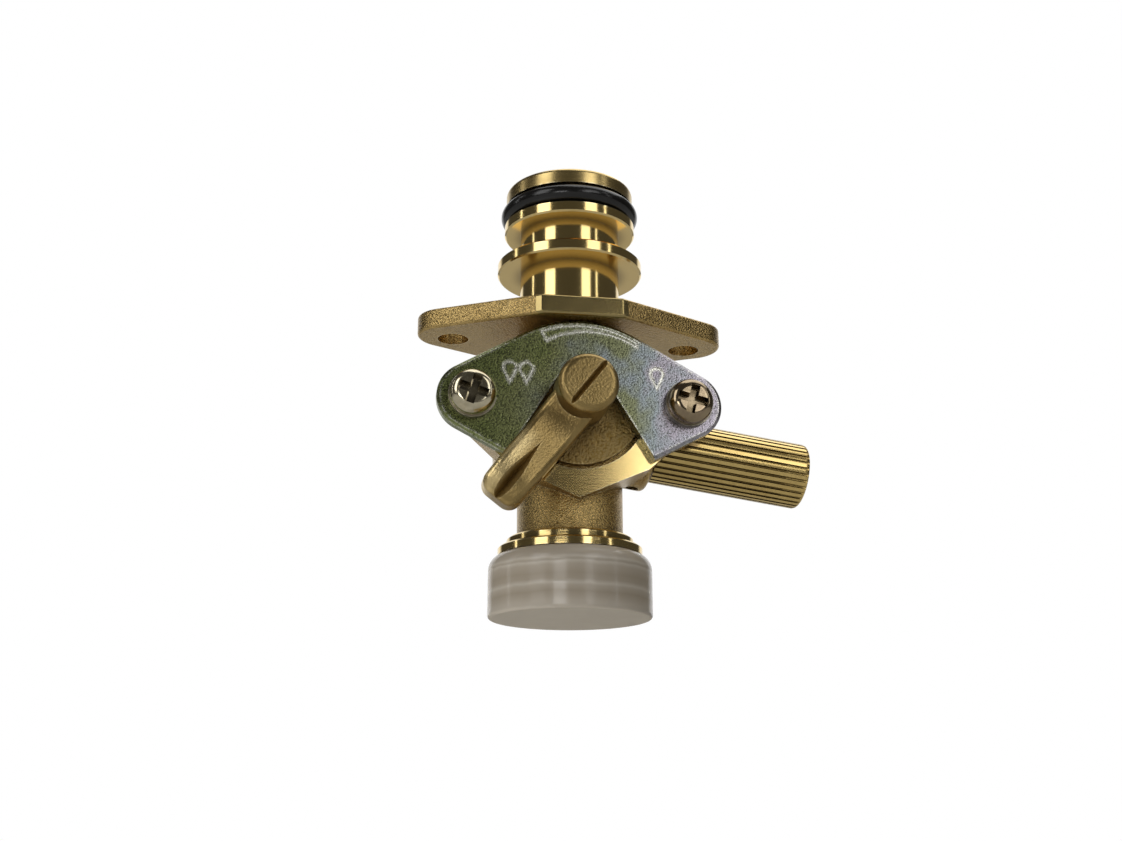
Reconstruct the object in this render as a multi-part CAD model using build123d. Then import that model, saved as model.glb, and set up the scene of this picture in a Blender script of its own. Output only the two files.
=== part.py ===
from build123d import *
import math
import os

os.makedirs("parts", exist_ok=True)

# Water inlet valve with a flow lever, a drain knob and a push-on inlet cap.
# Millimetres. The pipe runs along Z. The origin is on the pipe axis, at the upper
# face of the flange. The lever faces the front (-Y) and the drain knob points to +X.

# Running clearance between turning and sliding pieces
running_gap = 0.05
seat_gap = 0.1

# How far a cutting shape runs past the face that it cuts
cut_margin = 1.0

# Spigot, built up from the flange
outlet_bore_r = 5.5
outlet_bore_len = 22.0
outlet_port_r = 4.5
neck_r = 8.2
neck_len = 8.6
collar_r = 12.0
collar_t = 1.95
clip_groove_w = 5.25
land_r = 10.9
land_t = 1.7
lip_r = 10.65
lip_t = 2.6
lip_round = 0.8
edge_break = 0.25

# Spigot O-ring and the groove it lies in
spigot_ring_inner_r = 8.5
spigot_ring_cord = 3.0
spigot_groove_play = 0.6

# Diamond flange with two bolt holes
flange_t = 3.3
bolt_spacing = 38.4
bolt_hole_r = 2.5
flange_tip_r = 5.0
flange_tip_offset = 0.8
flange_flat_w = 12.8
flange_depth = 26.2
flange_shift_y = -0.7
flange_round = 0.5

# Plug housing: the plug turns about a front to back axis below the flange
plug_z = -16.0
plug_r = 6.95
plug_port_r = 4.3
housing_r = 12.6
housing_back_y = 10.5
housing_round = 2.0
housing_wall = 2.8
pad_face_y = -9.9
pad_depth = 8.0
pad_drop = 15.3
pad_corner_x = 11.3
pad_slope = 0.41
pad_corner_r = 0.8
pad_top_half_w = 6.0
pad_top_drop = 2.2
ear_depth = 4.2
ear_inset = 2.0

# Plug head, lying in a counterbore of the housing face
head_r = 10.1
head_t = 1.2
head_play = 0.3
head_ring_gap = 0.8

# O-rings on the plug
plug_ring_cord = 1.32
plug_groove_w = 1.7
plug_ring_front_y = -7.1
plug_ring_back_y = 5.9

# Lever
lever_rest_deg = 38.0
lever_neck_r = 4.4
hub_r = 4.6
hub_len = 7.0
hub_round = 1.1
arm_len = 21.8
arm_root_half_w = 3.7
arm_tip_half_w = 3.3
arm_above_plate = 0.8
arm_root_t = 6.2
arm_saddle_at = 9.4
arm_saddle_t = 2.7
arm_paddle_at = 15.6
arm_paddle_t = 4.2
arm_tip_t = 3.3
arm_round = 1.1
arm_tip_round = 2.0
grip_groove_d = 0.8
grip_groove_reach = 2.0
hub_groove_w = 0.9
hub_groove_d = 0.5
stop_half_w = 3.6
stop_len = 8.6

# Retaining plate
plate_t = 2.0
plate_edge = 0.5
plate_top_r = 18.0
plate_top_gap = 0.15
plate_end_r = 5.4
plate_side_slope_deg = 28.0
plate_prong_x = 12.0
plate_prong_rise = 9.5
plate_prong_r = 0.9
fan_half_deg = 31.5
fan_gap = 0.4
mark_w = 0.4
mark_d = 0.22
drop_mark_r = 1.2
drop_mark_tail = 2.7
drop_mark_rise = 4.2
more_marks_x = (-11.1, -8.5)
less_mark_x = 11.9
band_inset = 0.7
band_inner_r = 13.5
band_inner_x = 1.4
band_inner_rise = 2.5
band_left_x = -7.4
band_left_foot_x = -4.2
band_right_x = 9.0
band_foot_drop = 6.5

# Plate screws and lock washers
screw_spacing = 33.6
screw_drop = 0.5
screw_r = 1.95
screw_len = 6.0
screw_tip_room = 0.6
screw_head_r = 3.5
screw_head_t = 2.4
screw_head_dome = 1.5
recess_w = 1.0
recess_len = 4.2
recess_d = 1.4
recess_taper_deg = 8.0
recess_turn_deg = {-1: -17.0, 1: -14.0}
washer_t = 0.9
washer_r = 3.7
washer_bore_r = 2.2
washer_split = 0.8
plate_hole_r = 2.25

# Inlet neck, shoulder rings and thread
inlet_neck_r = 8.4
inlet_top_z = -36.0
small_ring_r = 10.0
small_ring_t = 1.4
large_ring_r = 11.4
large_ring_t = 1.3
thread_r = 10.48
thread_pitch = 1.814
thread_depth = 1.16
thread_crest_w = 0.45
thread_turns = 4
thread_relief = 0.6
thread_end = 0.65
inlet_bore_r = 6.2
inlet_port_r = 4.5
inlet_bore_len = 19.0

# Inlet strainer
strainer_seat_depth = 2.0
strainer_rim_r = 7.3
strainer_rim_t = 1.4
strainer_rim_bore_r = 4.6
strainer_mesh_r = 5.7
strainer_mesh_t = 0.25
strainer_len = 9.2
strainer_rib_w = 1.2
strainer_rib_t = 0.5
strainer_ribs = 3
strainer_top_t = 0.8

# Push-on inlet cap
cap_r = 12.85
cap_rim_r = 11.35
cap_shoulder_drop = 2.3
cap_thread_gap = 0.35
cap_floor_t = 1.1
cap_floor_gap = 0.2
cap_foot_round = 0.5

# Drain branch, knob and stem. Lengths along the drain axis start at the pipe axis.
drain_tilt_deg = 8.4
drain_z = -18.7
drain_boss_r = 7.0
drain_boss_end = 13.45
drain_boss_round = 1.0
stem_r = 3.55
drain_seat_at = 9.4
drain_seat_r = 1.6
drain_seat_depth = 1.5
drain_channel_r = 1.2
drain_channel_foot_x = 3.0
drain_channel_foot_z = -28.5
drain_spout_r = 1.0
drain_spout_at = 10.2
stem_tip_len = 0.5
stem_tip_base_r = 2.75
stem_ring_at = 11.6
stem_ring_cord = 1.32
stem_groove_w = 1.7
knob_r = 5.3
knob_len = 25.0
knob_gap = 0.4
knob_end_round = 0.9
knob_flutes = 32
knob_flute_r = 0.24
knob_flute_in = 0.08


def front(y):
    """Sketch plane facing the front: sketch x is X, sketch y is Z, extruding goes toward -Y."""
    return Plane(origin=(0, y, 0), x_dir=(1, 0, 0), z_dir=(0, -1, 0))


def front_disc(y_back, y_front, z, radius):
    """Cylinder about a front to back axis at height z."""
    return extrude(front(y_back) * Pos(0, z) * Circle(radius), amount=y_back - y_front)


def turned(points):
    """Solid of revolution about the pipe axis from (radius, height) points."""
    return revolve(Plane.XZ * make_face(Polyline(*points, close=True)), Axis.Z)


def upright(z_low, z_high, radius):
    """Cylinder on the pipe axis between two heights."""
    return extrude(Plane.XY.offset(z_low) * Circle(radius), amount=z_high - z_low)


def hull_of(circles, *others):
    """Convex outline around circles given as (x, y, radius) and any other shapes."""
    edges = ShapeList()
    for other in others:
        edges += other.edges()
    for x, y, radius in circles:
        edges += (Pos(x, y) * Circle(radius)).edges()
    return make_hull(edges)


def tube_ring(inner_r, cord):
    """Plain O-ring lying flat, centred on the origin."""
    return Torus(inner_r + cord / 2, cord / 2)


# Heights and positions that follow from the sizes above
collar_low_z = neck_len
collar_top_z = collar_low_z + collar_t
land_low_z = collar_top_z + clip_groove_w
land_top_z = land_low_z + land_t
lip_low_z = land_top_z + spigot_ring_cord + spigot_groove_play
spigot_top_z = lip_low_z + lip_t
spigot_groove_r = spigot_ring_inner_r - running_gap
outlet_bore_low_z = spigot_top_z - outlet_bore_len
plug_bore_r = plug_r + running_gap
pad_back_y = pad_face_y + pad_depth
head_front_y = pad_face_y + head_play
head_back_y = head_front_y + head_t
counterbore_y = head_back_y + seat_gap
counterbore_r = head_r + head_ring_gap
plug_back_y = housing_back_y - housing_wall - head_play
plug_groove_r = plug_bore_r - plug_ring_cord - 2 * running_gap
plate_front_y = pad_face_y - plate_t
arm_back_y = plate_front_y - arm_above_plate
hub_front_y = arm_back_y - hub_len
screw_x = screw_spacing / 2
screw_z = plug_z - screw_drop
bolt_x = bolt_spacing / 2
small_ring_low_z = inlet_top_z - small_ring_t
large_ring_low_z = small_ring_low_z - large_ring_t
thread_top_z = large_ring_low_z - thread_relief
inlet_end_z = thread_top_z - thread_turns * thread_pitch - thread_end
inlet_bore_top_z = inlet_end_z + inlet_bore_len
strainer_rim_top_z = inlet_end_z + strainer_seat_depth - seat_gap
strainer_rim_low_z = strainer_rim_top_z - strainer_rim_t
strainer_end_z = strainer_rim_low_z + strainer_len

drain_tilt = math.radians(drain_tilt_deg)
drain_dir = Vector(math.cos(drain_tilt), 0, -math.sin(drain_tilt))
drain_plane = Plane(origin=(0, 0, drain_z), x_dir=(0, 1, 0), z_dir=drain_dir)
stem_bore_r = stem_r + running_gap
stem_groove_r = stem_bore_r - stem_ring_cord - 2 * running_gap
knob_start = drain_boss_end + knob_gap


def along_drain(start, end, radius):
    """Cylinder on the drain axis between two distances from the pipe axis."""
    return extrude(drain_plane.offset(start) * Circle(radius), amount=end - start)


def drain_point(distance):
    """Point on the drain axis at a distance from the pipe axis."""
    return Vector(0, 0, drain_z) + drain_dir * distance


def make_spigot():
    """Turned spigot with clip groove, O-ring groove and lip."""
    solid = turned(
        [
            (0, -flange_t),
            (neck_r, -flange_t),
            (neck_r, collar_low_z),
            (collar_r - edge_break, collar_low_z),
            (collar_r, collar_low_z + edge_break),
            (collar_r, collar_top_z - edge_break),
            (collar_r - edge_break, collar_top_z),
            (neck_r, collar_top_z),
            (neck_r, land_low_z),
            (land_r - edge_break, land_low_z),
            (land_r, land_low_z + edge_break),
            (land_r, land_top_z),
            (spigot_groove_r, land_top_z),
            (spigot_groove_r, lip_low_z),
            (lip_r, lip_low_z),
            (lip_r, spigot_top_z),
            (0, spigot_top_z),
        ]
    )
    return fillet(solid.edges().group_by(Axis.Z)[-1], lip_round)


def make_spigot_ring():
    """O-ring of the spigot, in the middle of its groove."""
    ring = tube_ring(spigot_ring_inner_r, spigot_ring_cord)
    return Pos(0, 0, (land_top_z + lip_low_z) / 2) * ring


def make_flange():
    """Diamond flange: two rounded tips and a flat at the front and at the back."""
    tip_x = bolt_x + flange_tip_offset
    tips = [(-tip_x, 0, flange_tip_r), (tip_x, 0, flange_tip_r)]
    outline = Pos(0, flange_shift_y) * hull_of(tips, Rectangle(flange_flat_w, flange_depth))
    return fillet(extrude(outline, amount=-flange_t).edges(), flange_round)


def make_pad():
    """Front pad of the housing: two screw ears and a shallow V below."""
    low_z = plug_z - pad_drop
    corner_z = low_z + pad_slope * pad_corner_x
    top_z = -flange_t - pad_top_drop
    ear_r = plate_end_r - ear_inset
    outline = hull_of(
        [
            (-screw_x, screw_z, ear_r),
            (screw_x, screw_z, ear_r),
            (0, low_z + pad_corner_r, pad_corner_r),
            (-pad_corner_x + pad_corner_r, corner_z + pad_corner_r, pad_corner_r),
            (pad_corner_x - pad_corner_r, corner_z + pad_corner_r, pad_corner_r),
            (-pad_top_half_w, top_z, pad_corner_r),
            (pad_top_half_w, top_z, pad_corner_r),
        ]
    )
    window = Rectangle(2 * housing_r, 2 * (pad_drop + cut_margin))
    middle = outline & Pos(0, plug_z) * window
    ears = extrude(front(pad_face_y + ear_depth) * outline, amount=ear_depth)
    return ears + extrude(front(pad_back_y) * middle, amount=pad_depth)


def make_inlet():
    """Inlet neck, two shoulder rings and the thread as rings of the same pitch."""
    root_r = thread_r - thread_depth
    points = [
        (0, plug_z),
        (inlet_neck_r, plug_z),
        (inlet_neck_r, inlet_top_z),
        (small_ring_r - edge_break, inlet_top_z),
        (small_ring_r, inlet_top_z - edge_break),
        (small_ring_r, small_ring_low_z),
        (large_ring_r - edge_break, small_ring_low_z),
        (large_ring_r, small_ring_low_z - edge_break),
        (large_ring_r, large_ring_low_z),
        (root_r, large_ring_low_z),
        (root_r, thread_top_z),
    ]
    for turn in range(thread_turns):
        top_z = thread_top_z - turn * thread_pitch
        crest_z = top_z - thread_pitch / 2
        points.append((thread_r, crest_z + thread_crest_w / 2))
        points.append((thread_r, crest_z - thread_crest_w / 2))
        points.append((root_r, top_z - thread_pitch))
    points.append((root_r, inlet_end_z))
    points.append((0, inlet_end_z))
    return turned(points)


def make_housing():
    """Plug housing behind the pad, closed at the back."""
    shell = front_disc(housing_back_y, pad_face_y, plug_z, housing_r)
    shell = fillet(shell.edges().group_by(Axis.Y)[-1], housing_round)
    return shell + upright(plug_z, 0, inlet_neck_r)


def make_drain_boss():
    """Short round boss for the drain stem."""
    boss = along_drain(0, drain_boss_end, drain_boss_r)
    return fillet(boss.edges().group_by(Axis.X)[-1], drain_boss_round)


def make_drain_ways():
    """Stem bore, seat hole, channel to the inlet and spout below the boss."""
    bore = along_drain(drain_seat_at, drain_boss_end + cut_margin, stem_bore_r)
    seat = along_drain(drain_seat_at - drain_seat_depth, drain_seat_at, drain_seat_r)
    top = drain_point(drain_seat_at - drain_seat_depth / 2)
    foot = Vector(drain_channel_foot_x, 0, drain_channel_foot_z)
    run = foot - top
    channel = extrude(Plane(origin=top, z_dir=run) * Circle(drain_channel_r), amount=run.length)
    spout_top = drain_point(drain_spout_at)
    spout_plane = Plane(origin=spout_top, z_dir=(0, 0, -1))
    spout = extrude(spout_plane * Circle(drain_spout_r), amount=drain_boss_r + cut_margin)
    return [bore, seat, channel, spout]


def make_body():
    """Valve body: the casting with its machined bores."""
    solid = make_spigot() + make_flange() + make_housing() + make_pad()
    solid = solid + make_inlet() + make_drain_boss()
    solid = solid - upright(outlet_bore_low_z, spigot_top_z, outlet_bore_r)
    solid = solid - upright(plug_z, outlet_bore_low_z, outlet_port_r)
    solid = solid - front_disc(housing_back_y - housing_wall, pad_face_y, plug_z, plug_bore_r)
    solid = solid - front_disc(counterbore_y, pad_face_y, plug_z, counterbore_r)
    solid = solid - upright(inlet_end_z, inlet_bore_top_z, inlet_bore_r)
    solid = solid - upright(inlet_bore_top_z, plug_z, inlet_port_r)
    strainer_seat_r = strainer_rim_r + seat_gap
    solid = solid - upright(inlet_end_z, inlet_end_z + strainer_seat_depth, strainer_seat_r)
    hole_depth = screw_len - plate_t - washer_t + screw_tip_room
    for side in (-1, 1):
        tap = Pos(side * screw_x, screw_z) * Circle(screw_r + running_gap)
        solid = solid - extrude(front(pad_face_y + hole_depth) * tap, amount=hole_depth)
        bolt = Pos(side * bolt_x, 0, -flange_t) * Circle(bolt_hole_r)
        solid = solid - extrude(bolt, amount=flange_t)
    for cut in make_drain_ways():
        solid = solid - cut
    return solid


def arm_side():
    """Side of the arm: thick at the hub, thin at the saddle, thick again at the paddle."""
    front_line = Spline(
        (arm_back_y - arm_root_t, 0),
        (arm_back_y - arm_saddle_t, -arm_saddle_at),
        (arm_back_y - arm_paddle_t, -arm_paddle_at),
        (arm_back_y - arm_tip_t, -arm_len),
    )
    back_line = Polyline(
        front_line @ 1,
        (arm_back_y, -arm_len),
        (arm_back_y, 0),
        front_line @ 0,
    )
    return make_face(front_line.edges() + back_line.edges())


def make_grip_groove():
    """V groove that starts at the saddle and runs out over the tip of the paddle."""
    bottom = Spline(
        (0, arm_back_y - arm_saddle_t, -arm_saddle_at),
        (0, arm_back_y - arm_paddle_t + grip_groove_d, -arm_paddle_at),
        (0, arm_back_y - arm_tip_t + grip_groove_d, -arm_len - cut_margin),
    )
    profile = make_face(
        Polyline(
            (0, 0),
            (grip_groove_reach, grip_groove_reach),
            (-grip_groove_reach, grip_groove_reach),
            close=True,
        )
    )
    start = Plane(origin=bottom @ 0, x_dir=(1, 0, 0), z_dir=bottom % 0)
    return sweep(start * profile, path=bottom)


def make_arm():
    """Curved arm with rounded edges and a V groove along its paddle."""
    outline = make_face(
        Polyline(
            (-arm_root_half_w, 0),
            (arm_root_half_w, 0),
            (arm_tip_half_w, -arm_len),
            (-arm_tip_half_w, -arm_len),
            close=True,
        )
    )
    outline = fillet(outline.vertices().group_by(Axis.Y)[0], arm_tip_round)
    arm = extrude(front(arm_back_y) * outline, amount=hub_len)
    side_view = Plane(origin=(-arm_root_half_w, 0, 0), x_dir=(0, 1, 0), z_dir=(1, 0, 0))
    arm = arm & extrude(side_view * arm_side(), amount=2 * arm_root_half_w)
    face = arm.faces().filter_by(lambda found: found.normal_at().Y < 0).sort_by(SortBy.AREA)[-1]
    arm = fillet(face.edges().sort_by(Axis.Z)[:-1], arm_round)
    return arm - make_grip_groove()


def make_handle():
    """Hub, arm and stop of the lever, with the arm hanging straight down."""
    neck = front_disc(head_front_y, arm_back_y, 0, lever_neck_r)
    hub = front_disc(arm_back_y, hub_front_y, 0, hub_r)
    hub = fillet(hub.edges().group_by(Axis.Y)[0], hub_round)
    groove = make_face(
        Polyline(
            (-hub_groove_w / 2, hub_front_y),
            (hub_groove_w / 2, hub_front_y),
            (0, hub_front_y + hub_groove_d),
            close=True,
        )
    )
    groove_reach = hub_r + cut_margin
    hub = hub - extrude(Plane.XY.offset(-groove_reach) * groove, amount=2 * groove_reach)
    stop_sketch = Pos(0, -stop_len / 2) * Rectangle(2 * stop_half_w, stop_len)
    stop = extrude(front(head_front_y) * stop_sketch, amount=head_front_y - arm_back_y)
    return neck + hub + make_arm() + stop


def make_lever():
    """Flow lever with its head disc and plug, one casting, at its resting angle."""
    handle = Pos(0, 0, plug_z) * Rot(0, lever_rest_deg, 0) * make_handle()
    head = front_disc(head_back_y, head_front_y, plug_z, head_r)
    plug = front_disc(plug_back_y, head_back_y, plug_z, plug_r)
    for ring_y in (plug_ring_front_y, plug_ring_back_y):
        low = ring_y + plug_groove_w / 2
        high = ring_y - plug_groove_w / 2
        sleeve = front_disc(low, high, plug_z, plug_r + cut_margin)
        plug = plug - (sleeve - front_disc(low, high, plug_z, plug_groove_r))
    port_reach = plug_r + cut_margin
    plug = plug - upright(plug_z - port_reach, plug_z + port_reach, plug_port_r)
    return handle + head + plug


def make_plug_ring(ring_y):
    """O-ring in one of the grooves of the plug."""
    ring = tube_ring(plug_groove_r + running_gap, plug_ring_cord)
    return Pos(0, ring_y, plug_z) * Rot(90, 0, 0) * ring


def plate_outline():
    """Fork plate seen from the front: arched top, two round ends, fan opening below."""
    top_z = -flange_t - plate_top_gap
    arch_z = top_z - plate_top_r
    slope = math.radians(plate_side_slope_deg)
    arch_x = plate_top_r * math.sin(slope)
    arch_end_z = arch_z + plate_top_r * math.cos(slope)
    prong_z = plug_z - plate_prong_rise
    arch = ThreePointArc((-arch_x, arch_end_z), (0, top_z), (arch_x, arch_end_z))
    rounds = []
    for side in (-1, 1):
        prong_x = side * (plate_prong_x - plate_prong_r)
        rounds.append((side * screw_x, screw_z, plate_end_r))
        rounds.append((prong_x, prong_z + plate_prong_r, plate_prong_r))
    return hull_of(rounds, arch)


def fan_opening():
    """Opening of the fork: round at the lever neck, spreading out below."""
    half = math.radians(fan_half_deg)
    slot_r = lever_neck_r + fan_gap
    drop = plate_prong_rise + plate_end_r
    side_x = slot_r * math.cos(half)
    side_z = plug_z + slot_r * math.sin(half)
    low_x = side_x + math.tan(half) * (side_z - plug_z + drop)
    fan = make_face(
        Polyline(
            (-side_x, side_z),
            (side_x, side_z),
            (low_x, plug_z - drop),
            (-low_x, plug_z - drop),
            close=True,
        )
    )
    return fan + Pos(0, plug_z) * Circle(slot_r)


def drop_shape(radius, tail):
    """Water drop, round above and pointed below."""
    lean = math.acos(radius / tail)
    side_x = radius * math.sin(lean)
    side_z = -radius * math.cos(lean)
    point = make_face(Polyline((-side_x, side_z), (side_x, side_z), (0, -tail), close=True))
    return Circle(radius) + point


def drop_mark(x):
    """Outline of a water drop on the plate."""
    outer = drop_shape(drop_mark_r, drop_mark_tail)
    inner = drop_shape(drop_mark_r - mark_w, drop_mark_tail - 2 * mark_w)
    return Pos(x, plug_z + drop_mark_rise) * (outer - inner)


def flow_band(inset):
    """Tapered band along the arch, wide at the left and narrow at the right."""
    top_z = -flange_t - plate_top_gap
    arch_z = top_z - plate_top_r
    outer = Pos(0, arch_z) * Circle(plate_top_r - band_inset - inset)
    inner = Pos(band_inner_x, arch_z + band_inner_rise) * Circle(band_inner_r + inset)
    window = make_face(
        Polyline(
            (band_left_x + inset, top_z),
            (band_right_x - inset, top_z),
            (band_right_x - inset, top_z - band_foot_drop),
            (band_left_foot_x + inset, top_z - band_foot_drop),
            close=True,
        )
    )
    return (outer - inner) & window


def make_plate():
    """Retaining plate with screw holes, bevelled front edge and stamped marks."""
    solid = extrude(front(pad_face_y) * plate_outline(), amount=plate_t)
    solid = chamfer(solid.edges().group_by(Axis.Y)[0], plate_edge)
    solid = solid - extrude(front(pad_face_y) * fan_opening(), amount=plate_t)
    for side in (-1, 1):
        hole = front(pad_face_y) * Pos(side * screw_x, screw_z) * Circle(plate_hole_r)
        solid = solid - extrude(hole, amount=plate_t)
    marks = [flow_band(0) - flow_band(mark_w), drop_mark(less_mark_x)]
    marks += [drop_mark(x) for x in more_marks_x]
    for mark in marks:
        solid = solid - extrude(front(plate_front_y + mark_d) * mark, amount=mark_d)
    return solid


def make_screw(side):
    """Pan head screw with a cross recess."""
    seat_y = plate_front_y - washer_t
    shank = extrude(front(seat_y + screw_len) * Circle(screw_r), amount=screw_len)
    head = extrude(front(seat_y) * Circle(screw_head_r), amount=screw_head_t)
    head = fillet(head.edges().group_by(Axis.Y)[0], screw_head_dome)
    slot = Rectangle(recess_len, recess_w) + Rectangle(recess_w, recess_len)
    slot = Rot(0, 0, recess_turn_deg[side]) * slot
    top_y = seat_y - screw_head_t
    recess = extrude(front(top_y + recess_d) * slot, amount=recess_d, taper=-recess_taper_deg)
    return Pos(side * screw_x, 0, screw_z) * (shank + head - recess)


def make_washer(side):
    """Split lock washer under a screw head."""
    ring = Circle(washer_r) - Circle(washer_bore_r)
    ring = ring - Pos(washer_r, 0) * Rectangle(washer_r, washer_split)
    solid = extrude(front(plate_front_y) * ring, amount=washer_t)
    return Pos(side * screw_x, 0, screw_z) * solid


def make_knob():
    """Knurled drain knob with its stem and seat tip."""
    tip_r = drain_seat_r - running_gap - stem_tip_len
    tip_start = drain_seat_at - stem_tip_len
    tip_end = tip_start + stem_tip_base_r - tip_r
    groove_low = stem_ring_at - stem_groove_w / 2
    groove_high = stem_ring_at + stem_groove_w / 2
    profile = Polyline(
        (0, tip_start),
        (tip_r, tip_start),
        (stem_tip_base_r, tip_end),
        (stem_r, tip_end),
        (stem_r, groove_low),
        (stem_groove_r, groove_low),
        (stem_groove_r, groove_high),
        (stem_r, groove_high),
        (stem_r, knob_start),
        (knob_r, knob_start),
        (knob_r, knob_start + knob_len),
        (0, knob_start + knob_len),
        close=True,
    )
    solid = revolve(Plane.XZ * make_face(profile), Axis.Z)
    solid = fillet(solid.edges().group_by(Axis.Z)[-1], knob_end_round)
    flutes = []
    for index in range(knob_flutes):
        spot = Rot(0, 0, index * 360 / knob_flutes) * Pos(knob_r - knob_flute_in, 0, knob_start)
        flutes.append(spot * extrude(Circle(knob_flute_r), amount=knob_len))
    solid = solid - flutes
    return drain_plane.location * solid


def make_stem_ring():
    """O-ring on the drain stem."""
    ring = tube_ring(stem_groove_r + running_gap, stem_ring_cord)
    return drain_plane.location * Pos(0, 0, stem_ring_at) * ring


def make_strainer_frame():
    """Strainer frame: rim in the inlet, three ribs and a closed end."""
    inner_r = strainer_mesh_r - strainer_mesh_t - seat_gap
    solid = upright(strainer_rim_low_z, strainer_rim_top_z, strainer_rim_r)
    solid = solid - upright(strainer_rim_low_z, strainer_rim_top_z, strainer_rim_bore_r)
    solid = solid + upright(strainer_end_z - strainer_top_t, strainer_end_z, inner_r)
    for index in range(strainer_ribs):
        spot = Rot(0, 0, index * 360 / strainer_ribs) * Pos(inner_r - strainer_rib_t / 2, 0)
        rib = spot * Rectangle(strainer_rib_t, strainer_rib_w)
        solid = solid + extrude(Plane.XY.offset(strainer_rim_low_z) * rib, amount=strainer_len)
    return solid


def make_strainer_mesh():
    """Strainer mesh drawn over the ribs of the frame."""
    tube = upright(strainer_rim_top_z, strainer_end_z, strainer_mesh_r)
    inside_r = strainer_mesh_r - strainer_mesh_t
    return tube - upright(strainer_rim_top_z, strainer_end_z, inside_r)


def make_cap():
    """Push-on cap: round shoulder at the open end, flat foot."""
    rim_z = large_ring_low_z - seat_gap
    shoulder_z = rim_z - cap_shoulder_drop
    floor_z = inlet_end_z - cap_floor_gap
    foot_z = floor_z - cap_floor_t
    bore_r = thread_r + cap_thread_gap
    shoulder = TangentArc((cap_r, shoulder_z), (cap_rim_r, rim_z), tangent=(0, 1))
    rest = Polyline(
        (cap_r, shoulder_z),
        (cap_r, foot_z),
        (0, foot_z),
        (0, floor_z),
        (bore_r, floor_z),
        (bore_r, rim_z),
        (cap_rim_r, rim_z),
    )
    outline = make_face(shoulder.edges() + rest.edges())
    solid = revolve(Plane.XZ * outline, Axis.Z)
    return fillet(solid.edges().group_by(Axis.Z)[0], cap_foot_round)


def save(shape, name):
    """Write one node to its own file."""
    export_step(shape, f"parts/{name}.step")


save(make_body(), "valve_body")
save(make_spigot_ring(), "spigot_o_ring")
save(make_lever(), "flow_lever")
save(make_plug_ring(plug_ring_front_y), "plug_front_o_ring")
save(make_plug_ring(plug_ring_back_y), "plug_back_o_ring")
save(make_plate(), "retaining_plate")
save(Compound([make_screw(-1), make_screw(1)]), "plate_screws")
save(Compound([make_washer(-1), make_washer(1)]), "lock_washers")
save(make_knob(), "drain_knob")
save(make_stem_ring(), "drain_o_ring")
save(make_strainer_frame(), "strainer_frame")
save(make_strainer_mesh(), "strainer_mesh")
save(make_cap(), "inlet_cap")
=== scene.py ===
import math

import bpy
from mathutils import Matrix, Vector


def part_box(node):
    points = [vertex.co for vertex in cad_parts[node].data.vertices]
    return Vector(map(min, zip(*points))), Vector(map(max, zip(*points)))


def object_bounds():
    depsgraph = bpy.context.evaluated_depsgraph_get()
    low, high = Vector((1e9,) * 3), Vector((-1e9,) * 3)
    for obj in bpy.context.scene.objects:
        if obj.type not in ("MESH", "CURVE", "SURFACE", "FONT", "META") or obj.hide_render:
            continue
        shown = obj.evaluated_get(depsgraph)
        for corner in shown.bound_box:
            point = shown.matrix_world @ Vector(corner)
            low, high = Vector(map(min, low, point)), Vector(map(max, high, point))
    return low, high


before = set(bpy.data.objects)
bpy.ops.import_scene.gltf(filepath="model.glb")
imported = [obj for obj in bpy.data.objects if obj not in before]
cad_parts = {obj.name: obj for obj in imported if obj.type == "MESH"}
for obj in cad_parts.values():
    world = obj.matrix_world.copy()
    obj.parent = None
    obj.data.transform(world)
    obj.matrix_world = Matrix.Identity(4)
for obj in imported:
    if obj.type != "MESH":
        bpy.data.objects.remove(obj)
cad_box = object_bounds()


# Valve body: one brass casting with a turned spigot, shoulder rings and thread.
# The cast skin is grainy and satin. Above the flange and at the inlet it is turned bright,
# and the front face that carries the plate is milled flat, as the gate on the flange is sawn;
# the sawn flat is smoother and painted darker, as shade.

cast_brass_colour = (0.68, 0.49, 0.20, 1.0)
cast_brass_shade = (0.46, 0.31, 0.115, 1.0)
sawn_flat_shade_colour = (0.40, 0.31, 0.13, 1.0)
turned_brass_colour = (0.87, 0.65, 0.27, 1.0)
rubbed_and_highlight_brass = (0.98, 0.86, 0.55, 1.0)
lip_colour = (0.42, 0.31, 0.13, 1.0)
pit_colour = (0.26, 0.17, 0.05, 1.0)
body_shade_colour = (0.16, 0.10, 0.035, 1.0)
pit_share = 0.65
body_shade_share = 0.7
turned_stain = 0.12
lip_darkening = 1.4
lip_haze = 0.14
grain_sink = 0.9
sawn_grain = 0.1
lathe_grain = 0.06
lathe_rings = 8000.0
ring_waver = 60.0
lip_start_z = 0.0206
spigot_start_z = 0.0002
flange_low_z = -0.0034
shoulder_start_z = -0.0358
milled_face_y = -0.0098
sawn_flat_y = -0.0133

# Sockets of a colour Mix node: its factor and two colours, and its result.
colour_mix_inputs = (0, 6, 7)
colour_mix_output = 2


def feed(tree, value, socket):
    """Links an output to an input, or sets the input to a fixed value."""
    if isinstance(value, bpy.types.NodeSocket):
        tree.links.new(value, socket)
    else:
        socket.default_value = value


def add_node(tree, kind, settings=None, **values):
    """Shader node with its settings, and a fixed value or an output for each named input."""
    node = tree.nodes.new(kind)
    for name, setting in (settings or {}).items():
        setattr(node, name, setting)
    for name, value in values.items():
        feed(tree, value, node.inputs[name.replace("_", " ")])
    return node


def combine(tree, operation, first, second, kind="ShaderNodeMath"):
    """Arithmetic on two outputs, or on an output and a fixed value."""
    node = add_node(tree, kind, {"operation": operation})
    feed(tree, first, node.inputs[0])
    feed(tree, second, node.inputs[1])
    return node.outputs["Value"]


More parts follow.
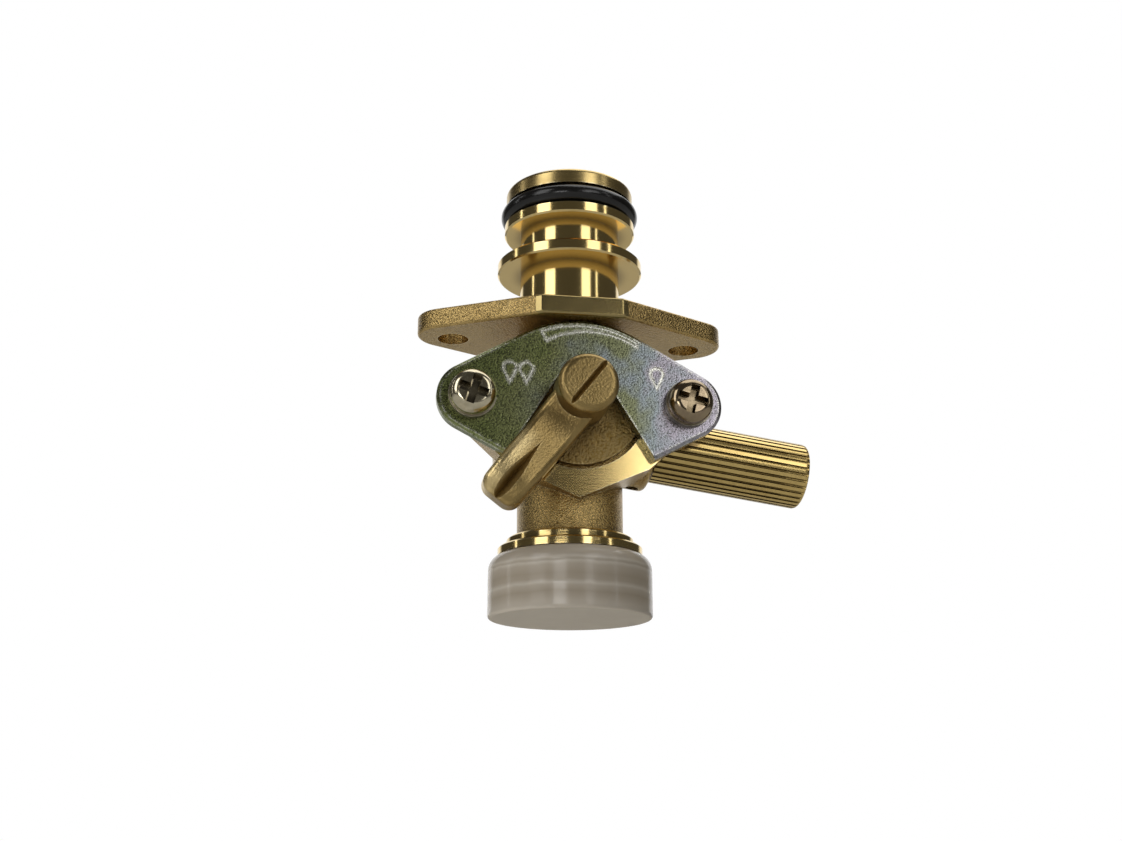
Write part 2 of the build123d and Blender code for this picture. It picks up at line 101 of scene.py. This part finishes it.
def mask_between(tree, value, start, end):
    """Mask that goes from 0 to 1 as a value goes from start to end."""
    node = add_node(tree, "ShaderNodeMapRange", Value=value, From_Min=start, From_Max=end)
    return node.outputs["Result"]


def blend_values(tree, mask, low, high):
    """Number that goes from low to high with a mask, each fixed or an output."""
    node = add_node(tree, "ShaderNodeMapRange", Value=mask, To_Min=low, To_Max=high)
    return node.outputs["Result"]


def blend_colours(tree, mask, first, second):
    """Colour that goes from first to second with a mask, each fixed or an output."""
    node = add_node(tree, "ShaderNodeMix", {"data_type": "RGBA"})
    for value, index in zip((mask, first, second), colour_mix_inputs):
        feed(tree, value, node.inputs[index])
    return node.outputs[colour_mix_output]


def object_place(tree):
    """Object coordinates of the piece."""
    return tree.nodes.new("ShaderNodeTexCoord").outputs["Object"]


def split_axes(tree, vector):
    """The X, Y and Z outputs of a vector."""
    return add_node(tree, "ShaderNodeSeparateXYZ", Vector=vector).outputs


def add_noise(tree, place, scale, detail, roughness=0.5):
    """Noise from 0 to 1 at a place."""
    node = add_node(
        tree, "ShaderNodeTexNoise", Vector=place, Scale=scale, Detail=detail, Roughness=roughness
    )
    return node.outputs["Fac"]


def make_group(name, inputs, outputs):
    """Shader node group of numbers, with the sockets to read and the sockets to fill."""
    group = bpy.data.node_groups.new(name, "ShaderNodeTree")
    for socket, value in inputs.items():
        made = group.interface.new_socket(socket, in_out="INPUT", socket_type="NodeSocketFloat")
        made.default_value = value
    for socket in outputs:
        group.interface.new_socket(socket, in_out="OUTPUT", socket_type="NodeSocketFloat")
    given = group.nodes.new("NodeGroupInput").outputs
    result = group.nodes.new("NodeGroupOutput").inputs
    return group, given, result


def place_group(tree, group, **values):
    """Outputs of a shared effect, placed in a material with its own values."""
    return add_node(tree, "ShaderNodeGroup", {"node_tree": group}, **values).outputs


def start_material(name, metallic=0.0):
    """Material with its node tree and its shader."""
    material = bpy.data.materials.new(name)
    material.use_nodes = True
    shader = material.node_tree.nodes["Principled BSDF"]
    shader.inputs["Metallic"].default_value = metallic
    return material, material.node_tree, shader


def paint(tree, shader, colour, roughness):
    """Gives the shader its colour and roughness."""
    feed(tree, colour, shader.inputs["Base Color"])
    feed(tree, roughness, shader.inputs["Roughness"])


def add_bump(tree, shader, height, depth, strength):
    """Bump of a real depth in metres on the shader's normal."""
    bump = add_node(tree, "ShaderNodeBump", Height=height, Distance=depth, Strength=strength)
    feed(tree, bump.outputs["Normal"], shader.inputs["Normal"])


def dress(material, *nodes):
    """Gives a material to the slots of CAD nodes."""
    for name in nodes:
        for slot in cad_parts[name].material_slots:
            slot.material = material


def make_casting_grain():
    """Sand grain of a cast skin: fine height, a slow mottle and the pits between grains."""
    group, given, result = make_group(
        "casting_grain", {"Grain": 4000.0, "Patch": 260.0}, ("Height", "Mottle", "Pits")
    )
    place = object_place(group)
    rough = add_noise(group, place, given["Grain"], detail=4.0, roughness=0.62)
    grains = add_node(group, "ShaderNodeTexVoronoi", Vector=place, Scale=given["Grain"])
    sunk = combine(group, "MULTIPLY", grains.outputs["Distance"], grain_sink)
    height = combine(group, "SUBTRACT", rough, sunk)
    mottle = add_noise(group, place, given["Patch"], detail=3.0, roughness=0.55)
    feed(group, height, result["Height"])
    feed(group, mottle, result["Mottle"])
    feed(group, mask_between(group, height, start=0.02, end=-0.25), result["Pits"])
    return group


def make_edge_wear_and_highlight():
    """Mask of edges, lightened as edge wear and painted highlight, broken up by a fine noise."""
    group, given, result = make_group("edge_wear_and_highlight", {"Reach": 0.0003}, ("Mask",))
    rounded = add_node(group, "ShaderNodeBevel", {"samples": 4}, Radius=given["Reach"])
    surface = group.nodes.new("ShaderNodeNewGeometry")
    normals = (rounded.outputs["Normal"], surface.outputs["Normal"])
    likeness = combine(group, "DOT_PRODUCT", *normals, kind="ShaderNodeVectorMath")
    edge = mask_between(group, likeness, start=0.99, end=0.88)
    breaks = add_noise(group, object_place(group), scale=1500.0, detail=2.0)
    patchy = mask_between(group, breaks, start=0.35, end=0.6)
    feed(group, combine(group, "MULTIPLY", edge, patchy), result["Mask"])
    return group


def make_recess_shade():
    """Mask of corners and grooves, for painted shade."""
    group, given, result = make_group("recess_shade", {"Reach": 0.001}, ("Mask",))
    settings = {"samples": 8, "only_local": True}
    sky = add_node(group, "ShaderNodeAmbientOcclusion", settings, Distance=given["Reach"])
    closed = mask_between(group, sky.outputs["AO"], start=0.95, end=0.45)
    feed(group, closed, result["Mask"])
    return group


casting_grain = make_casting_grain()
edge_wear_and_highlight = make_edge_wear_and_highlight()
recess_shade = make_recess_shade()

body_brass, tree, shader = start_material("body_brass", metallic=1.0)
axes = split_axes(tree, object_place(tree))
on_lip = combine(tree, "GREATER_THAN", axes["Z"], lip_start_z)
on_spigot = combine(tree, "GREATER_THAN", axes["Z"], spigot_start_z)
on_flange = combine(tree, "GREATER_THAN", axes["Z"], flange_low_z)
below_flange = combine(tree, "LESS_THAN", axes["Z"], flange_low_z)
on_inlet = combine(tree, "LESS_THAN", axes["Z"], shoulder_start_z)
at_front = combine(tree, "LESS_THAN", axes["Y"], milled_face_y)
far_front = combine(tree, "LESS_THAN", axes["Y"], sawn_flat_y)
on_milled = combine(tree, "MULTIPLY", at_front, below_flange)
on_sawn = combine(tree, "MULTIPLY", far_front, on_flange)
turned_part = combine(tree, "MAXIMUM", on_spigot, on_inlet)
bright_part = combine(tree, "MAXIMUM", turned_part, on_milled)

grain = place_group(tree, casting_grain, Grain=3600.0, Patch=240.0)
wear_and_highlight = place_group(tree, edge_wear_and_highlight, Reach=0.00035)
painted_shade = place_group(tree, recess_shade, Reach=0.0022)
stretched = add_node(
    tree,
    "ShaderNodeCombineXYZ",
    X=combine(tree, "MULTIPLY", axes["X"], ring_waver),
    Y=combine(tree, "MULTIPLY", axes["Y"], ring_waver),
    Z=combine(tree, "MULTIPLY", axes["Z"], lathe_rings),
)
rings = add_noise(tree, stretched.outputs["Vector"], scale=1.0, detail=3.0, roughness=0.6)

patchy_cast = blend_colours(tree, grain["Mottle"], cast_brass_shade, cast_brass_colour)
pitted = combine(tree, "MULTIPLY", grain["Pits"], pit_share)
pitted_cast = blend_colours(tree, pitted, patchy_cast, pit_colour)
# The sawn flat on the flange is painted darker, as shade.
cast_colour = blend_colours(tree, on_sawn, pitted_cast, sawn_flat_shade_colour)
# The turned lip at the top is darker and hazier than the rest of the turned brass.
turned_darkening = blend_values(tree, on_lip, turned_stain, lip_darkening)
darkened = combine(tree, "MULTIPLY", grain["Mottle"], turned_darkening)
turned_colour = blend_colours(tree, darkened, turned_brass_colour, lip_colour)
skin_colour = blend_colours(tree, bright_part, cast_colour, turned_colour)
# Edges are lightened as wear and painted highlight.
worn_and_highlight_colour = blend_colours(tree, wear_and_highlight["Mask"], skin_colour, rubbed_and_highlight_brass)
# Corners, grooves and undersides are darkened as painted shade.
shade_amount = combine(tree, "MULTIPLY", painted_shade["Mask"], body_shade_share)
body_colour = blend_colours(tree, shade_amount, worn_and_highlight_colour, body_shade_colour)

cast_rough = blend_values(tree, grain["Mottle"], low=0.15, high=0.26)
lathe_rough = blend_values(tree, rings, low=0.07, high=0.16)
hazy_lip = combine(tree, "MULTIPLY", on_lip, lip_haze)
turned_rough = combine(tree, "ADD", lathe_rough, hazy_lip)
body_rough = blend_values(tree, bright_part, cast_rough, turned_rough)
sandy = blend_values(tree, on_sawn, low=1.0, high=sawn_grain)
cast_height = combine(tree, "MULTIPLY", grain["Height"], sandy)
lathe_height = combine(tree, "MULTIPLY", rings, lathe_grain)
body_height = blend_values(tree, bright_part, cast_height, lathe_height)
paint(tree, shader, body_colour, body_rough)
add_bump(tree, shader, body_height, depth=0.00008, strength=1.0)
dress(body_brass, "valve_body")


# Rubber seals: black moulded O-rings on the spigot, the plug and the drain stem.
# Smooth rubber with a faint moulding haze. Each lies in its own groove.

rubber_colour = (0.005, 0.005, 0.005, 1.0)
rubber_haze = (0.013, 0.012, 0.011, 1.0)

seal_rubber, tree, shader = start_material("seal_rubber")
haze = place_group(tree, casting_grain, Grain=2600.0, Patch=420.0)
seal_colour = blend_colours(tree, haze["Mottle"], rubber_colour, rubber_haze)
seal_rough = blend_values(tree, haze["Mottle"], low=0.15, high=0.26)
paint(tree, shader, seal_colour, seal_rough)
add_bump(tree, shader, haze["Height"], depth=0.00001, strength=0.3)
dress(seal_rubber, "spigot_o_ring", "plug_front_o_ring", "plug_back_o_ring", "drain_o_ring")


# Flow lever: one brass casting with its head disc and plug, held in by the plate.
# Its handle is tumbled smooth, with edges lightened as wear and painted highlight,
# and one ridge at the paddle's end painted bright as a highlight; corners and hollows are darkened
# as painted shade.
# The head disc behind the plate keeps the sandy skin of the mould.

lever_light = (0.44, 0.315, 0.13, 1.0)
lever_dark = (0.29, 0.20, 0.072, 1.0)
lever_rubbed_and_highlight = (0.78, 0.61, 0.30, 1.0)
lever_shade_colour = (0.12, 0.075, 0.025, 1.0)
lever_shade_share = 0.8
ridge_highlight_share = 0.9
handle_grain = 0.2
lever_rest = math.radians(38.0)
lever_pivot_z = -0.0160
head_disc_y = -0.0115


def axes_along(tree, turn, pivot_z):
    """Axes of the piece, turned about Y and measured from a point on the Z axis."""
    along = add_node(
        tree,
        "ShaderNodeMapping",
        Vector=object_place(tree),
        Location=(pivot_z * math.sin(turn), 0.0, -pivot_z * math.cos(turn)),
        Rotation=(0.0, -turn, 0.0),
    )
    return split_axes(tree, along.outputs["Vector"])


lever_brass, tree, shader = start_material("lever_brass", metallic=1.0)
grain = place_group(tree, casting_grain, Grain=2700.0, Patch=320.0)
wear_and_highlight = place_group(tree, edge_wear_and_highlight, Reach=0.0005)
painted_shade = place_group(tree, recess_shade, Reach=0.0045)
axes = split_axes(tree, object_place(tree))
on_head = combine(tree, "GREATER_THAN", axes["Y"], head_disc_y)
handle = axes_along(tree, lever_rest, lever_pivot_z)
# The left ridge at the paddle's end is painted bright as a highlight, and edges are lightened as
# wear and painted highlight.
highlight_side = mask_between(tree, handle["X"], start=-0.0004, end=-0.0016)
highlight_end = mask_between(tree, handle["Z"], start=-0.0095, end=-0.0125)
highlight_ridge = combine(tree, "MULTIPLY", highlight_side, highlight_end)
ridge_highlight = combine(tree, "MULTIPLY", highlight_ridge, ridge_highlight_share)

satin = blend_colours(tree, grain["Mottle"], lever_dark, lever_light)
sand_pits = combine(tree, "MULTIPLY", grain["Pits"], on_head)
sandy_skin = blend_colours(tree, sand_pits, satin, pit_colour)
bright = combine(tree, "MAXIMUM", ridge_highlight, wear_and_highlight["Mask"])
rubbed_and_highlit = blend_colours(tree, bright, sandy_skin, lever_rubbed_and_highlight)
# Corners and hollows are darkened as painted shade.
shade_amount = combine(tree, "MULTIPLY", painted_shade["Mask"], lever_shade_share)
lever_colour = blend_colours(tree, shade_amount, rubbed_and_highlit, lever_shade_colour)
lever_rough = blend_values(tree, grain["Mottle"], low=0.27, high=0.38)
sandy = blend_values(tree, on_head, low=handle_grain, high=1.0)
lever_height = combine(tree, "MULTIPLY", grain["Height"], sandy)
paint(tree, shader, lever_colour, lever_rough)
add_bump(tree, shader, lever_height, depth=0.00014, strength=0.9)
dress(lever_brass, "flow_lever")


# Retaining plate: stamped steel, zinc plated with a passivated film, screwed to the body.
# The film drifts from dark olive at the left to lighter blue and pink at the right, with a fine
# crystal speckle: the tint is the film's, and the darkening towards the left is painted shade.
# The floors of the stamped marks are painted bright as a highlight, and the bevelled edge is
# lightened as wear and painted highlight.

film_and_shade_steps = (
    (0.30, (0.20, 0.23, 0.085, 1.0)),
    (0.40, (0.25, 0.265, 0.115, 1.0)),
    (0.51, (0.25, 0.265, 0.155, 1.0)),
    (0.60, (0.32, 0.36, 0.38, 1.0)),
    (0.68, (0.42, 0.385, 0.44, 1.0)),
)
film_and_shade_drift = 11.0
crystal_colour = (0.05, 0.055, 0.03, 1.0)
crystal_share = 0.6
plate_rubbed_and_highlight = (0.86, 0.85, 0.76, 1.0)
mark_floor_y = -0.0118
facing_front_y = -0.8


def colour_ramp(tree, mask, steps):
    """Colour that runs through steps with a mask, each step a place and a colour."""
    node = add_node(tree, "ShaderNodeValToRGB", Fac=mask)
    stops = node.color_ramp.elements
    while len(stops) < len(steps):
        stops.new(0.5)
    for stop, (spot, colour) in zip(stops, steps):
        stop.position = spot
        stop.color = colour
    return node.outputs["Color"]


plated_zinc, tree, shader = start_material("plated_zinc", metallic=1.0)
speckle = place_group(tree, casting_grain, Grain=3600.0, Patch=120.0)
wear_and_highlight = place_group(tree, edge_wear_and_highlight, Reach=0.0006)
axes = split_axes(tree, object_place(tree))
surface = tree.nodes.new("ShaderNodeNewGeometry")
normal = split_axes(tree, surface.outputs["True Normal"])
# The floors of the stamped marks are painted bright as a highlight.
set_back = combine(tree, "GREATER_THAN", axes["Y"], mark_floor_y)
to_front = combine(tree, "LESS_THAN", normal["Y"], facing_front_y)
mark_highlight = combine(tree, "MULTIPLY", set_back, to_front)

# The tint is the film's; the darkening towards the left is painted shade.
drift = combine(tree, "MULTIPLY", axes["X"], film_and_shade_drift)
cloud = blend_values(tree, speckle["Mottle"], low=0.2, high=0.8)
film_and_shade_depth = combine(tree, "ADD", drift, cloud)
film_and_shade = colour_ramp(tree, film_and_shade_depth, film_and_shade_steps)
crystals = combine(tree, "MULTIPLY", speckle["Pits"], crystal_share)
speckled = blend_colours(tree, crystals, film_and_shade, crystal_colour)
# The bevelled edge is lightened as wear and painted highlight.
highlight_and_rubbed_part = combine(tree, "MAXIMUM", mark_highlight, wear_and_highlight["Mask"])
plate_colour = blend_colours(tree, highlight_and_rubbed_part, speckled, plate_rubbed_and_highlight)
plate_rough = blend_values(tree, speckle["Height"], low=0.27, high=0.41)
paint(tree, shader, plate_colour, plate_rough)
add_bump(tree, shader, speckle["Height"], depth=0.00002, strength=0.8)
dress(plated_zinc, "retaining_plate")


# Plate screws and lock washers: cold-headed steel, yellow passivated and gone dark.
# The heads are shiny and the right one browner; the cross recess is darkened as painted shade, and
# the washers are dull.

screw_colour = (0.86, 0.80, 0.60, 1.0)
screw_brown = (0.26, 0.185, 0.13, 1.0)
screw_dull = (0.44, 0.36, 0.22, 1.0)
screw_shade_colour = (0.05, 0.035, 0.015, 1.0)
screw_shade_share = 0.8
right_screw_x = 0.0
washer_colour = (0.34, 0.31, 0.25, 1.0)
washer_dull = (0.20, 0.18, 0.14, 1.0)
washer_bright = (0.66, 0.62, 0.48, 1.0)

plated_screw, tree, shader = start_material("plated_screw", metallic=1.0)
skin = place_group(tree, casting_grain, Grain=2400.0, Patch=700.0)
painted_shade = place_group(tree, recess_shade, Reach=0.0014)
axes = split_axes(tree, object_place(tree))
on_right = combine(tree, "GREATER_THAN", axes["X"], right_screw_x)
plating = blend_colours(tree, on_right, screw_colour, screw_brown)
shine = blend_colours(tree, skin["Mottle"], screw_dull, plating)
# The cross recess is darkened as painted shade.
shade_amount = combine(tree, "MULTIPLY", painted_shade["Mask"], screw_shade_share)
screw_skin = blend_colours(tree, shade_amount, shine, screw_shade_colour)
screw_rough = blend_values(tree, skin["Mottle"], low=0.10, high=0.20)
paint(tree, shader, screw_skin, screw_rough)
add_bump(tree, shader, skin["Height"], depth=0.00001, strength=0.3)
dress(plated_screw, "plate_screws")

dark_washer, tree, shader = start_material("dark_washer", metallic=1.0)
skin = place_group(tree, casting_grain, Grain=3000.0, Patch=600.0)
wear_and_highlight = place_group(tree, edge_wear_and_highlight, Reach=0.0002)
dull = blend_colours(tree, skin["Mottle"], washer_dull, washer_colour)
# The washer's edges are lightened as wear and painted highlight.
washer_skin = blend_colours(tree, wear_and_highlight["Mask"], dull, washer_bright)
washer_rough = blend_values(tree, skin["Mottle"], low=0.30, high=0.45)
paint(tree, shader, washer_skin, washer_rough)
add_bump(tree, shader, skin["Height"], depth=0.00001, strength=0.4)
dress(dark_washer, "lock_washers")


# Drain knob: turned brass bar with straight knurling, one piece with its stem.
# The ribs are bright, and the grooves between them are darkened as painted shade.
# It screws into the body's drain branch, which slopes down a little.

knob_bright = (0.86, 0.65, 0.26, 1.0)
knob_dull = (0.60, 0.42, 0.145, 1.0)
knob_groove_shade = (0.06, 0.035, 0.008, 1.0)
groove_shade_share = 0.9
knob_tilt = math.radians(8.4)
knob_axis_z = -0.0187
groove_radius = 0.00522
groove_end = 0.03497

knurled_brass, tree, shader = start_material("knurled_brass", metallic=1.0)
skin = place_group(tree, casting_grain, Grain=2600.0, Patch=380.0)
painted_shade = place_group(tree, recess_shade, Reach=0.0009)
axes = axes_along(tree, knob_tilt, knob_axis_z)
across_y = combine(tree, "MULTIPLY", axes["Y"], axes["Y"])
across_z = combine(tree, "MULTIPLY", axes["Z"], axes["Z"])
across = combine(tree, "ADD", across_y, across_z)
# The knurl grooves and other corners are darkened as painted shade.
sunk = combine(tree, "LESS_THAN", across, groove_radius**2)
knurled = combine(tree, "LESS_THAN", axes["X"], groove_end)
in_groove = combine(tree, "MULTIPLY", sunk, knurled)
groove_shade = combine(tree, "MULTIPLY", in_groove, groove_shade_share)
knob_shade = combine(tree, "MAXIMUM", painted_shade["Mask"], groove_shade)
bar = blend_colours(tree, skin["Mottle"], knob_dull, knob_bright)
knob_colour = blend_colours(tree, knob_shade, bar, knob_groove_shade)
knob_rough = blend_values(tree, skin["Mottle"], low=0.16, high=0.26)
paint(tree, shader, knob_colour, knob_rough)
add_bump(tree, shader, skin["Height"], depth=0.00001, strength=0.25)
dress(knurled_brass, "drain_knob")


# Inlet strainer: a moulded frame with wire mesh, inside the inlet under the cap.
# Plain white plastic and fine steel wire.

frame_white = (0.76, 0.76, 0.74, 1.0)
frame_shade = (0.62, 0.62, 0.60, 1.0)
wire_light = (0.62, 0.62, 0.61, 1.0)
wire_dark = (0.30, 0.30, 0.30, 1.0)

strainer_plastic, tree, shader = start_material("strainer_plastic")
skin = place_group(tree, casting_grain, Grain=2200.0, Patch=300.0)
frame_colour = blend_colours(tree, skin["Mottle"], frame_shade, frame_white)
frame_rough = blend_values(tree, skin["Mottle"], low=0.40, high=0.55)
paint(tree, shader, frame_colour, frame_rough)
dress(strainer_plastic, "strainer_frame")

strainer_wire, tree, shader = start_material("strainer_wire", metallic=1.0)
weave = place_group(tree, casting_grain, Grain=3000.0, Patch=500.0)
wire_colour = blend_colours(tree, weave["Mottle"], wire_dark, wire_light)
wire_rough = blend_values(tree, weave["Mottle"], low=0.25, high=0.40)
paint(tree, shader, wire_colour, wire_rough)
add_bump(tree, shader, weave["Height"], depth=0.00003, strength=0.6)
dress(strainer_wire, "strainer_mesh")


# Inlet cap: soft milky plastic pushed over the thread to keep it clean.
# Light passes through it, and faint level bands show on its wall.

cap_light = (0.97, 0.89, 0.76, 1.0)
cap_band = (0.58, 0.48, 0.35, 1.0)
band_tones = (
    (0.10, 0.75),
    (0.25, 0.25),
    (0.34, 0.60),
    (0.38, 1.00),
    (0.44, 0.40),
    (0.53, 0.25),
    (0.66, 0.55),
    (0.71, 1.00),
    (0.74, 0.45),
    (0.78, 1.00),
    (0.82, 0.55),
    (1.00, 0.65),
)
cap_low, cap_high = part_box("inlet_cap")

milky_plastic, tree, shader = start_material("milky_plastic")
shader.inputs["Transmission Weight"].default_value = 0.28
shader.inputs["IOR"].default_value = 1.45
skin = place_group(tree, casting_grain, Grain=1800.0, Patch=160.0)
axes = split_axes(tree, object_place(tree))
waver = blend_values(tree, skin["Mottle"], low=-0.0004, high=0.0004)
level = combine(tree, "ADD", axes["Z"], waver)
rise = mask_between(tree, level, cap_low.z, cap_high.z)
bands = colour_ramp(tree, rise, [(spot, (tone, tone, tone, 1.0)) for spot, tone in band_tones])
wall_colour = blend_colours(tree, bands, cap_band, cap_light)
wall_rough = blend_values(tree, skin["Mottle"], low=0.12, high=0.24)
paint(tree, shader, wall_colour, wall_rough)
add_bump(tree, shader, bands, depth=0.00005, strength=0.4)
dress(milky_plastic, "inlet_cap")


# Studio: a pale floor under the cap, and a grey room with a white backdrop behind the photo's view.
# Soft boxes stand in front, at the sides, overhead and under the floor.
# The camera looks up from below the floor, which is clear from that side and lets light through.

floor_size = 4.0
floor_colour = (0.58, 0.58, 0.57, 1.0)
floor_roughness = 0.7
room_grey = (0.060, 0.058, 0.053, 1.0)
floor_glow = (0.10, 0.10, 0.095, 1.0)
backdrop_white = (1.0, 1.0, 1.0, 1.0)
backdrop_edge = math.radians(42.0)
backdrop_full = math.radians(31.0)
aim = Vector((-0.001388, 0.000206, -0.016278))
camera_turn = math.radians(-8.436)
camera_lift = math.radians(-16.723)
camera_distance = 0.2122
lens_mm = 42.0

# Name, turn and lift in degrees, distance, width and height in metres, power in watts.
soft_boxes = (
    ("left_soft_box", -54.0, 27.0, 0.60, 0.23, 0.42, 0.66),
    ("right_soft_box", 30.0, 26.0, 0.60, 0.20, 0.30, 0.34),
    ("left_low_box", -22.0, 3.6, 0.60, 0.18, 0.076, 0.22),
    ("right_low_box", 18.5, 12.0, 0.60, 0.13, 0.13, 0.12),
    ("left_rim_box", -102.0, 24.0, 0.60, 0.035, 0.42, 0.10),
    ("right_rim_box", 57.0, 24.0, 0.60, 0.03, 0.42, 0.09),
    ("top_soft_box", 118.0, 74.0, 0.70, 0.70, 0.70, 2.50),
    ("under_soft_box", -80.0, -62.0, 0.45, 0.35, 0.35, 0.95),
)


def outward(turn, lift):
    """Unit vector from the object, turned from the front and lifted from level."""
    level = math.cos(lift)
    return Vector((math.sin(turn) * level, -math.cos(turn) * level, math.sin(lift)))


def stand(name, data, turn, lift, distance):
    """Lamp or camera in the scene, looking at the object from a distance."""
    made = bpy.data.objects.new(name, data)
    bpy.context.scene.collection.objects.link(made)
    away = outward(turn, lift)
    made.location = aim + away * distance
    made.rotation_euler = (-away).to_track_quat("-Z", "Y").to_euler()
    return made


bpy.ops.mesh.primitive_plane_add(size=floor_size, location=(0.0, 0.0, cad_box[0].z))
floor = bpy.context.active_object
floor.name = "studio_floor"
floor_paint, tree, shader = start_material("floor_paint")
paint(tree, shader, floor_colour, floor_roughness)
surface = tree.nodes.new("ShaderNodeNewGeometry")
ray = tree.nodes.new("ShaderNodeLightPath").outputs
unlit = combine(tree, "MAXIMUM", ray["Is Diffuse Ray"], ray["Is Shadow Ray"])
see_through = combine(tree, "MAXIMUM", surface.outputs["Backfacing"], unlit)
clear = tree.nodes.new("ShaderNodeBsdfTransparent")
either = add_node(tree, "ShaderNodeMixShader", Fac=see_through)
feed(tree, shader.outputs["BSDF"], either.inputs[1])
feed(tree, clear.outputs["BSDF"], either.inputs[2])
feed(tree, either.outputs["Shader"], tree.nodes["Material Output"].inputs["Surface"])
floor.data.materials.append(floor_paint)

room = bpy.data.worlds.new("studio_room")
bpy.context.scene.world = room
room.use_nodes = True
tree = room.node_tree
heading = tree.nodes.new("ShaderNodeTexCoord").outputs["Generated"]
ahead = -outward(camera_turn, camera_lift)
in_view = combine(tree, "DOT_PRODUCT", heading, ahead, kind="ShaderNodeVectorMath")
backdrop = add_node(
    tree,
    "ShaderNodeMapRange",
    {"interpolation_type": "SMOOTHSTEP"},
    Value=in_view,
    From_Min=math.cos(backdrop_edge),
    From_Max=math.cos(backdrop_full),
)
above = mask_between(tree, split_axes(tree, heading)["Z"], start=-0.15, end=0.0)
walls = blend_colours(tree, above, floor_glow, room_grey)
room_colour = blend_colours(tree, backdrop.outputs["Result"], walls, backdrop_white)
feed(tree, room_colour, tree.nodes["Background"].inputs["Color"])

for name, turn, lift, distance, width, height, power in soft_boxes:
    lamp = bpy.data.lights.new(name, "AREA")
    lamp.shape = "RECTANGLE"
    lamp.size = width
    lamp.size_y = height
    lamp.energy = power
    soft_box = stand(name, lamp, math.radians(turn), math.radians(lift), distance)
    soft_box.visible_camera = False

camera_data = bpy.data.cameras.new("photo_camera")
camera_data.lens = lens_mm
camera_data.clip_start = 0.01
camera = stand("photo_camera", camera_data, camera_turn, camera_lift, camera_distance)
bpy.context.scene.camera = camera
bpy.context.scene.view_settings.view_transform = "Standard"
